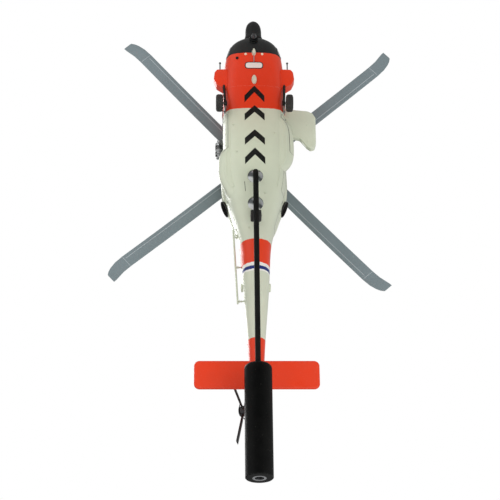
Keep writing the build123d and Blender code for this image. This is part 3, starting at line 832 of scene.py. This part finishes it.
fans = Shape()
low, high = datum_box("intake_lips")
for side in (1, -1):
    cy = side * (high.y - 7.0)
    cz = (low.z + high.z) / 2
    centre = Vector((low.x - 3.6, cy, cz))
    vane_plane = Vector((0.9, 0, 0))
    fans.turn([(1.9, -0.4), (1.8, 1.6), (1.3, 3.0), (0.6, 3.9), (0.15, 4.2)], centre, (1, 0, 0), 20)
    for d in spokes(12):
        fans.tube([centre + d * 1.5 + vane_plane, centre + d * 4.9 + vane_plane], [0.34, 0.26], 6)
fans.make("intake_vanes", STEEL, slot="steel")

p, n = on_roof(-66.0, 0.0)
beacon_base = Shape().turn([(1.9, -0.5), (1.9, 0.5), (1.6, 0.8)], p, n, 24)
beacon_base.make("beacon_base", IVORY_PAINT, slot="white_paint")
beacon_lens = Shape().turn([(1.45, 0.5), (1.45, 1.9), (1.15, 2.6), (0.5, 3.0)], p, n, 24)
beacon_lens.make("beacon_lens", RED_LENS, slot="lamp_cream")


def upright_place(x):
    """Stands a plate's own X and Y up along the body's centre line at a station on the roof."""
    return Matrix.Translation(on_roof(x, 0.0)[0]) @ Matrix.Rotation(math.radians(90), 4, "X")


aerials = Shape()
for x, h, chord in ((-98.0, 6.0, 4.4), (-150.0, 5.0, 3.6)):
    place = upright_place(x)
    fin = rounded([(-chord / 2, -0.8), (chord / 2, -0.8), (chord * 0.15, h), (-chord / 2, h)], 0.6)
    aerials.plate(fin, -0.5, 0.5, place, 0.18)
aerials.make("roof_aerials", IVORY_PAINT, slot="white_paint")

hook = rounded([(-4.0, -1.0), (3.0, -1.2), (6.5, 4.6), (4.8, 5.4), (1.0, 1.8), (-3.0, 1.2)], 0.5)
cutter = Shape().plate(hook, -0.45, 0.45, upright_place(67.0), 0.15)
cutter.make("wire_cutter", BLACK_PAINT, slot="black_paint")

STEP_STATION = -58.0
steps = Shape()
for side in (1, -1):
    for z in (30.0, 38.0, 46.0):
        foothold = box_outline(STEP_STATION - 1.5, STEP_STATION + 1.5, z - 0.9, z + 0.9, 0.7)
        steps.pad(facing(foothold, side), on_side(side), 0.1, rounding=0.2)
steps.make("kick_in_steps", DUCT, slot="duct_black")


# ------------------------------------------------------------------ main rotor head

HUB = middle("rotor_hub")
FIRST_BLADE = math.radians(48.8)     # the rotor's parked heading in the part


def arm_place(quarter):
    """Local X runs out along one blade from the mast at hub height."""
    return Matrix.Translation(HUB) @ Matrix.Rotation(FIRST_BLADE + quarter * math.pi / 2, 4, "Z")


ARM_PLATE = rounded([(4.0, -4.2), (17.0, -2.6), (17.0, 2.6), (4.0, 4.2)], 1.2)
ROD_END = [(0.5, -0.75), (0.85, -0.6), (0.85, 0.6), (0.5, 0.75)]
PITCH_HORN = [(15.2, 4.4, -0.4), (16.5, 6.4, -0.6)]
DAMPER = [(7.0, -5.6, 0.4), (11.0, -6.2, 0.5), (18.5, -5.2, 0.4)]
head = Shape()
bolts = Shape()
links = Shape()
for quarter in range(4):
    place = arm_place(quarter)
    head.plate(ARM_PLATE, 2.25, 3.35, place, 0.2)
    for x, y in ((9.0, 0.0), (14.5, 0.0)):
        bolts.bolt(place @ Vector((x, y, 3.3)), (0, 0, 1), 0.7, 0.8)
    for x, y in ((18.0, 2.6), (18.0, -2.6), (26.5, 2.8), (26.5, -2.8)):
        bolts.bolt(place @ Vector((x, y, 2.25)), (0, 0, 1), 0.62, 0.7)
        bolts.bolt(place @ Vector((x, y, -2.25)), (0, 0, -1), 0.62, 0.7)
    top = place @ Vector((16.5, 6.3, -0.6))
    foot = place @ Vector((6.3, 5.2, -4.9))
    links.tube([foot, foot.lerp(top, 0.2), foot.lerp(top, 0.8), top], [0.45, 0.62, 0.62, 0.45])
    for end in (foot, top):
        links.turn(ROD_END, end, place.to_3x3() @ Vector((0, 1, 0)), 14)
    links.tube([place @ Vector(p) for p in PITCH_HORN], 0.5)
    links.tube([place @ Vector(p) for p in DAMPER], [0.9, 0.9, 0.55], 14)
head.make("hub_plates", DARK_STEEL, "main_rotor", "steel")
bolts.make("rotor_bolts", STEEL, "main_rotor", "steel")
links.make("pitch_links_and_dampers", STEEL, "main_rotor", "steel")
SWASH = [(4.4, -5.9), (6.6, -5.6), (6.9, -5.2), (6.9, -4.4), (6.4, -4.0), (3.3, -3.9), (3.3, -4.2)]
swash = Shape().turn(SWASH, HUB, (0, 0, 1), 40)
swash.make("swash_plate", DARK_STEEL, "main_rotor", "steel")

low, high = datum_box("mast_sleeve")
boot = Shape()
for k in range(3):
    boot.ring(6.95 - 0.5 * k, 0.35, (HUB.x, 0, low.z + 2.9 + 0.75 * k), (0, 0, 1), 40)
boot.make("mast_boot_rings", DUCT, slot="duct_black")

# Ridge strip and tip seam on each main blade, laid on the blade's own surface.
BLADE_TREES = [skin_tree([f"main_blade_{k + 1}"]) for k in range(4)]
BLADE_REACH = 182.5
TIP_DROOP = 5.0


def on_blade(quarter, face):
    place = arm_place(quarter)
    tree = BLADE_TREES[quarter]

    def ray(u, v):
        start = place @ Vector((u, v, face * 12.0))
        hit, normal, _, _ = tree.ray_cast(to_frame(start), Vector((0, 0, -face)))
        if hit is None:
            droop = -TIP_DROOP * (u / BLADE_REACH) ** 2
            hit, normal, _, _ = tree.find_nearest(to_frame(place @ Vector((u, v, droop))))
        if normal.z * face < 0:
            normal = -normal
        return hit / MM - Vector((X0, 0, Z0)), normal
    return ray


RIDGE = [(37.0, 2.3), (158.0, 2.3)]
TIP_SEAM = [(160.0, 5.4), (160.0, -6.2)]
edge_strips = Shape()
for quarter in range(4):
    for face in (1, -1):
        skin = on_blade(quarter, face)
        edge_strips.strip(RIDGE[::face], skin, 0.7, 0.16, closed=False, step=6.0, sink=0.1)
        edge_strips.strip(TIP_SEAM[::face], skin, 0.6, 0.12, closed=False, step=1.6, sink=0.1)
edge_strips.make("blade_ridge_strips", RIDGE_STRIP, "main_rotor", "grey_blade_paint")


# ------------------------------------------------------------------ tail

tail_joint = [j for j in frame["joints"] if j["name"] == "tail_rotor_spin"][0]
TAIL_AXIS = Vector(tail_joint["axis"]).normalized()
TAIL_HUB = middle("tail_rotor_hub")
TAIL_FIRST_BLADE = -63       # the tail rotor's parked heading in the part, in degrees
SPIDER = [(1.3, 2.6), (4.2, 2.7), (4.6, 3.0), (4.6, 3.5), (4.0, 3.9), (2.6, 4.0)]
LINK_END = [(0.9, -0.9), (1.1, -0.7), (1.1, 0.7), (0.9, 0.9)]
tail_side = Vector((1, 0, 0))
tail_up = TAIL_AXIS.cross(tail_side)
tail_head = Shape().turn(SPIDER, TAIL_HUB, TAIL_AXIS, 30)
for quarter in range(4):
    a = math.radians(90 * quarter + TAIL_FIRST_BLADE)
    out = tail_side * math.cos(a) + tail_up * math.sin(a)
    over = TAIL_AXIS.cross(out)
    link = [(4.2, 3.2, 1.2), (8.0, 1.2, 2.0), (9.6, 0.2, 1.6)]
    tail_head.tube([TAIL_HUB + out * r + TAIL_AXIS * h + over * t for r, h, t in link], 0.45)
    tail_head.turn(LINK_END, TAIL_HUB + out * 5.4, TAIL_AXIS, 16)
tail_head.make("tail_rotor_spider", DARK_STEEL, "tail_rotor", "steel")

FIN_PANELS = [
    box_outline(-232.0, -215.0, 52.0, 60.0, 1.0),
    box_outline(-246.0, -232.0, 64.0, 72.0, 1.0),
]
FIN_HINGE = [(-236.0, 51.0), (-256.0, 92.0)]
tail_lines = Shape()
for side in (1, -1):
    for outline in FIN_PANELS:
        tail_lines.strip(facing(outline, side), on_side(side), FINE_LINE, LINE_LIFT)
    tail_lines.strip(FIN_HINGE[::side], on_side(side), 0.35, LINE_LIFT, closed=False)
tail_lines.make("fin_lines", FIN_LINE, slot="black_paint", smooth=60)

FIN_FRONT = [(-208.6, 52.0), (-215.5, 61.0), (-224.6, 72.0), (-232.0, 83.5), (-239.2, 93.8)]
fin_edge = Shape().tube([(x, 0, z) for x, z in FIN_FRONT], 0.75, 12)
fin_edge.make("fin_leading_edge_guard", BLADE, slot="grey_blade_paint")

fin_back = datum_box("tail_pylon")[0].x
tail_light = Shape().turn([(0.9, -0.6), (1.3, 0.4), (1.2, 1.5), (0.5, 2.2)], (fin_back + 0.8, 0, 93.0),
                          (-1, 0, 0.2), 20)
tail_light.make("tail_light", RED_LENS, slot="lamp_cream")


# ------------------------------------------------------------------ undercarriage

for side, word in ((1, "left"), (-1, "right")):
    centre = middle(f"{word}_tyre")
    low, high = datum_box(f"{word}_tyre")
    radius = (high.z - low.z) / 2
    half = (high.y - low.y) / 2
    out = Vector((0, side, 0))
    tread = Shape()
    for offset in (-1.0, -0.33, 0.33, 1.0):
        tread.ring(radius - 0.08, 0.22, centre + out * offset, out, 56)
    for offset in (-1, 1):
        tread.ring(radius - 2.3, 0.18, centre + out * offset * (half - 0.05), out, 48)
    tread.make(f"{word}_tyre_ribs", RUBBER, f"{word}_wheel", "rubber")
    nuts = Shape()
    face = centre + out * 1.55
    nuts.ring(3.9, 0.25, centre + out * 2.55, out, 40)
    for d in wheel_spokes(8):
        nuts.bolt(face + d * 2.8, out, 0.38, 0.5)
    nuts.make(f"{word}_wheel_nuts", STEEL, f"{word}_wheel", "steel")

BRAKE_LINE = [(62.0, 29.8, 17.2), (56.0, 29.5, 14.8), (48.0, 29.2, 11.7), (42.0, 28.8, 9.6)]
gear = Shape()
for side in (1, -1):
    gear.tube([(x, side * y, z) for x, y, z in BRAKE_LINE], 0.26)
gear.make("brake_lines", BLACK_PAINT, slot="black_paint")

# Two rings at the foot of each shock strut's upper stage.
COLLAR = [(1.62, -0.35), (1.8, -0.2), (1.8, 0.2), (1.62, 0.35)]
collars = Shape()
for side in (1, -1):
    a = Vector((34.6, side * 27.6, 19.5))
    d = Vector((33.4, side * 27.2, 27.5)) - a
    for share in (0.0, 0.12):
        collars.turn(COLLAR, a + d * share, d, 24)
collars.make("oleo_collars", STEEL, slot="steel")

# Tail wheels: a pair on one axle.
yoke_low = datum_box("tail_wheel_yoke")[0]
fork = Shape().ring(2.65, 0.25, (-82.0, 0, yoke_low.z + 9.3), (0, 0, 1), 30)
fork.make("tail_swivel_ring", STEEL, "tail_wheel_fork", "steel")
low, high = datum_box("tail_tyres")
radius = (high.z - low.z) / 2
centre = (low + high) / 2
tail_ribs = Shape()
tail_nuts = Shape()
for side in (1, -1):
    for offset in (-0.7, 0.0, 0.7):
        tail_ribs.ring(radius - 0.06, 0.18, centre + Vector((0, side * 3.1 + offset, 0)), (0, 1, 0), 44)
    face = centre + Vector((0, side * 4.4, 0))
    for d in wheel_spokes(6):
        tail_nuts.bolt(face + d * 1.8, (0, side, 0), 0.26, 0.35)
tail_ribs.make("tail_tyre_ribs", RUBBER, "tail_wheels", "rubber")
tail_nuts.make("tail_wheel_nuts", STEEL, "tail_wheels", "steel")


# ------------------------------------------------------------------ hoist and pylons

low, high = datum_box("hoist_body")
HOIST_R = 3.5              # the drum housing's radius
hoist_axis = Vector((0, low.y + HOIST_R, low.z + HOIST_R))
ribs = Shape()
for x in (4.6, 6.6, 8.6, 14.2, 16.0):
    ribs.ring(HOIST_R + 0.05, 0.28, (x, hoist_axis.y, hoist_axis.z), (1, 0, 0), 36)
drum_face = Vector((16.5, hoist_axis.y, hoist_axis.z))
for d in spokes(6):
    ribs.bolt(drum_face + d * 2.8, (1, 0, 0), 0.38, 0.45)
ribs.make("hoist_ribs", HOIST_GREY, slot="hoist_grey")
drum = Shape()
for k in range(6):
    drum.ring(HOIST_R + 0.03, 0.24, (9.6 + 0.75 * k, hoist_axis.y, hoist_axis.z), (1, 0, 0), 30)
drum.make("hoist_cable_turns", DARK_STEEL, slot="steel")
OUT_AND_DOWN = (0, -0.8, -0.6)
pads = Shape()
for x, r in ((2.2, 0.9), (5.6, 1.0), (12.6, 1.0)):
    pads.turn([(r, -0.6), (r, 0.5), (r * 0.7, 0.7)], hoist_axis + Vector((x, -2.75, -2.05)), OUT_AND_DOWN, 18)
pads.make("hoist_caps", DUCT, slot="duct_black")
HOSE = ((0.9, 0.8, 2.0), (-1.6, 1.8, 2.6), (-3.6, 3.2, 2.6), (-4.6, 5.2, 2.0))
hose = Shape().tube([hoist_axis + Vector(p) for p in HOSE], 0.5)
hose.make("hoist_hose", BLACK_PAINT, slot="black_paint")

CAP = [(0.9, -0.2), (0.9, 0.1), (0.6, 0.2)]
pylon_fit = Shape()
low, high = datum_box("port_pylon")
for x, y in ((33.0, 33.0), (20.0, 33.0), (24.0, 50.0), (6.0, 50.5)):
    pylon_fit.turn(CAP, (x, y, low.z), (0, 0, -1), 18)
    pylon_fit.turn(CAP, (x, y, high.z), (0, 0, 1), 18)
pylon_fit.make("pylon_caps", IVORY_PAINT, slot="white_paint")

# Insulators on the antenna rail's standoffs; the rail rises slightly towards the tail.
RAIL_FRONT = -84.0
RAIL_HEIGHT = 36.0
RAIL_RISE = 2.0 / 74.0
insulators = Shape()
for x, y in ((-90.5, -20.1), (-122.0, -18.5), (-156.0, -16.7)):
    z = RAIL_HEIGHT + (RAIL_FRONT - x) * RAIL_RISE
    insulators.ring(1.15, 0.35, (x, y + 1.6, z), (0, 1, 0), 20)
    insulators.ring(1.05, 0.3, (x, y + 3.0, z), (0, 1, 0), 20)
    p, n = on_side(-1)(x, z)
    insulators.turn([(1.7, -0.4), (1.7, 0.25), (1.2, 0.6)], p, n, 20)
insulators.make("rail_insulators", IVORY_PAINT, slot="white_paint")


# ------------------------------------------------------------------ stand

post_front = datum_box("stand_post")[1].x
collar = Shape().ring(2.75, 0.42, (post_front + 0.1, 0, -Z0), (1, 0, 0), 36)
collar.make("rod_collar", STAND, "stand", "stand_black")


# ------------------------------------------------------------------ stage, light and camera

VIEW_TILT = math.radians(27.16)    # the view rises along the body, from behind and below
VIEW_SWING = math.radians(2.84)    # and leans a little to port as it does
VIEW_ROLL = math.radians(0.59)
AIM = Vector((-118.3, -5.7, 9.0))
DISTANCE = 1585.7
LENS = 126.4


def aim_at(thing, place, target):
    thing.location = place
    thing.rotation_euler = (target - place).to_track_quat("-Z", "Y").to_euler()


FLOOR_HALF = 4.0
FLOOR_GAP = 0.0004
FLOOR_TONES = ((0.86, 0.86, 0.86, 1), (0.90, 0.90, 0.895, 1))


def stage_floor():
    """A pale floor under the part that can't be seen from below."""
    low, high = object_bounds()
    mesh = bpy.data.meshes.new("floor")
    z = low.z - FLOOR_GAP
    corners = [(-1, -1), (1, -1), (1, 1), (-1, 1)]
    mesh.from_pydata([(x * FLOOR_HALF, y * FLOOR_HALF, z) for x, y in corners], [], [(0, 1, 2, 3)])
    n = Nodes("floor_pale")
    tone = n.mix(n.remap(n.noise(3, 3.0), 0.3, 0.7, 0.0, 1.0), *FLOOR_TONES)
    n.wire(tone, n.shader.inputs["Base Color"])
    n.shader.inputs["Roughness"].default_value = 0.8
    clear = n.add("ShaderNodeBsdfTransparent")
    geometry = n.add("ShaderNodeNewGeometry")
    mixer = n.add("ShaderNodeMixShader")
    out = n.tree.nodes["Material Output"]
    n.wire(geometry.outputs["Backfacing"], mixer.inputs[0])
    n.wire(n.shader.outputs[0], mixer.inputs[1])
    n.wire(clear.outputs[0], mixer.inputs[2])
    n.wire(mixer.outputs[0], out.inputs["Surface"])
    mesh.materials.append(n.material)
    floor = bpy.data.objects.new("floor", mesh)
    bpy.context.scene.collection.objects.link(floor)
    floor.visible_shadow = False
    floor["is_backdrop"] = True


def area_light(name, place, target, size, power):
    data = bpy.data.lights.new(name, "AREA")
    data.shape = "DISK"
    data.size = size
    data.energy = power
    light = bpy.data.objects.new(name, data)
    bpy.context.scene.collection.objects.link(light)
    aim_at(light, place, target)


stage_floor()
low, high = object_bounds()
heart = (low + high) / 2
area_light("key_below", heart + Vector((-0.55, 0.35, -0.85)), heart, 0.9, 5.5)
area_light("fill_below", heart + Vector((0.5, -0.8, -0.7)), heart, 1.0, 3.0)
area_light("key_above", heart + Vector((0.6, -0.7, 1.1)), heart, 0.8, 8.0)
area_light("fill_above", heart + Vector((-0.7, 0.8, 0.7)), heart, 1.0, 3.5)

world = bpy.data.worlds.new("studio")
world.use_nodes = True
sky = world.node_tree.nodes["Background"]
sky.inputs["Color"].default_value = (1, 1, 1, 1)
path = world.node_tree.nodes.new("ShaderNodeLightPath")
strength = world.node_tree.nodes.new("ShaderNodeMapRange")
strength.inputs["To Min"].default_value = 0.5      # what lights the model
strength.inputs["To Max"].default_value = 1.0      # what the camera sees
world.node_tree.links.new(path.outputs["Is Camera Ray"], strength.inputs["Value"])
world.node_tree.links.new(strength.outputs["Result"], sky.inputs["Strength"])
bpy.context.scene.world = world
bpy.context.scene.view_settings.view_transform = "Standard"

flat = Vector((math.cos(VIEW_SWING), math.sin(VIEW_SWING), 0))
sight = flat * math.sin(VIEW_TILT) + Vector((0, 0, math.cos(VIEW_TILT)))
forward = Vector((1, 0, 0))
upward = (forward - sight * forward.dot(sight)).normalized()
turned_up = upward * math.cos(VIEW_ROLL) + sight.cross(upward) * math.sin(VIEW_ROLL)
turned_right = sight.cross(turned_up)
camera_data = bpy.data.cameras.new("camera")
camera_data.lens = LENS
camera_data.sensor_width = 36
camera_data.clip_end = 20
camera = bpy.data.objects.new("camera", camera_data)
bpy.context.scene.collection.objects.link(camera)
rotation = Matrix((turned_right, turned_up, -sight)).transposed()
camera.matrix_world = Matrix.Translation(to_frame(AIM) - sight * DISTANCE * MM) @ rotation.to_4x4()
bpy.context.scene.camera = camera
